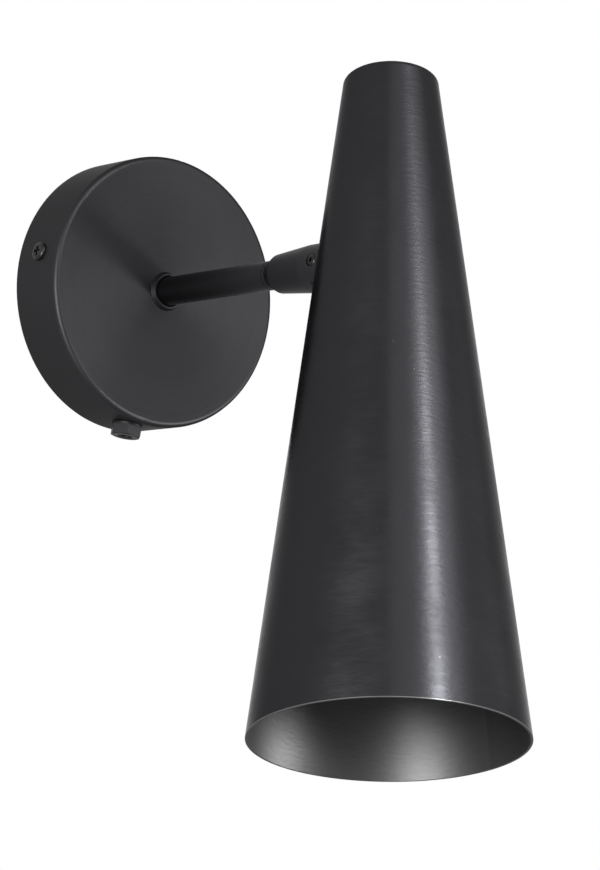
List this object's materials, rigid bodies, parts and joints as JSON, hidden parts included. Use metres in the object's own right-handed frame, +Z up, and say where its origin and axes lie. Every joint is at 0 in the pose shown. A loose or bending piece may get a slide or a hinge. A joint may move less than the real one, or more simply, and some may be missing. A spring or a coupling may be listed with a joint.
{
  "type": "wall lamp",
  "caption": "Wall lamp with a round wall cup, a short straight arm, a forked swivel and a long cone shade that tilts.",
  "frame": {"origin": "centre of the wall cup on the wall plane", "axes": "+Y into the wall along the arm's axis, +Z up, +X to the right as one faces the wall"},
  "size_m": [0.123, 0.2791, 0.2941],
  "materials": {
    "black_steel": "blackened steel, fine turned brushing, satin",
    "shade_steel": "blackened spun steel with fine brush lines around the cone, satin, bare bright rim",
    "black_screw": "blackened screw steel, slightly glossy",
    "zinc_steel": "bright zinc plate",
    "brass": "plain brass",
    "tinned_copper": "tinned, dull",
    "black_plastic": "moulded thermoset, matte",
    "pale_plastic": "milky polyamide, slightly translucent",
    "fibre": "dark hard fibre, matte",
    "cable_sheath": "soft black sheath, matte",
    "core_sheath": "soft brown core sheath",
    "earth_sheath": "soft green core sheath with yellow stripes",
    "opal_glass": "opal glass, satin white"
  },
  "bodies": {
    "wall_body": {"wall_cup": "black_steel", "wall_bracket": "zinc_steel", "side_screws": "black_screw", "cord_gland": "black_steel", "gland_nut": "zinc_steel", "arm_collar": "black_steel", "arm_tube": "black_steel", "arm_stem": "zinc_steel", "stem_washer": "zinc_steel", "stem_nut": "zinc_steel", "terminal_block": "pale_plastic", "terminal_sleeves": "brass", "terminal_screws": "zinc_steel", "block_screw": "zinc_steel", "earth_screw": "zinc_steel", "earth_tag": "tinned_copper", "earth_lead": "earth_sheath", "arm_cable": "cable_sheath", "cable_cores": "core_sheath", "neck_ring": "black_steel", "swivel_stem": "zinc_steel", "swivel_washer": "zinc_steel"},
    "knuckle": {"knuckle_fork": "black_steel", "pivot_screws": "black_screw", "pivot_washers": "fibre"},
    "shade": {"shade_cone": "shade_steel", "shade_tongue": "black_steel", "saddle_washer": "zinc_steel", "tongue_nut": "zinc_steel", "holder_bracket": "zinc_steel", "holder_nipple": "zinc_steel", "holder_nut": "zinc_steel", "holder_cap": "black_plastic", "holder_shell": "black_plastic", "holder_core": "black_plastic", "socket_sleeve": "brass", "centre_contact": "brass", "bulb_cap": "zinc_steel", "bulb_glass": "opal_glass", "holder_cable": "cable_sheath"}
  },
  "joints": [
    {"name": "knuckle_turn", "type": "hinge", "parent": "wall_body", "child": "knuckle", "pos_m": [0, -0.14, 0], "axis": [0, -1, 0], "range_deg": [-165, 165]},
    {"name": "shade_tilt", "type": "hinge", "parent": "knuckle", "child": "shade", "pos_m": [0, -0.14, 0], "axis": [-1, 0, 0], "range_deg": [-40, 60]}
  ]
}
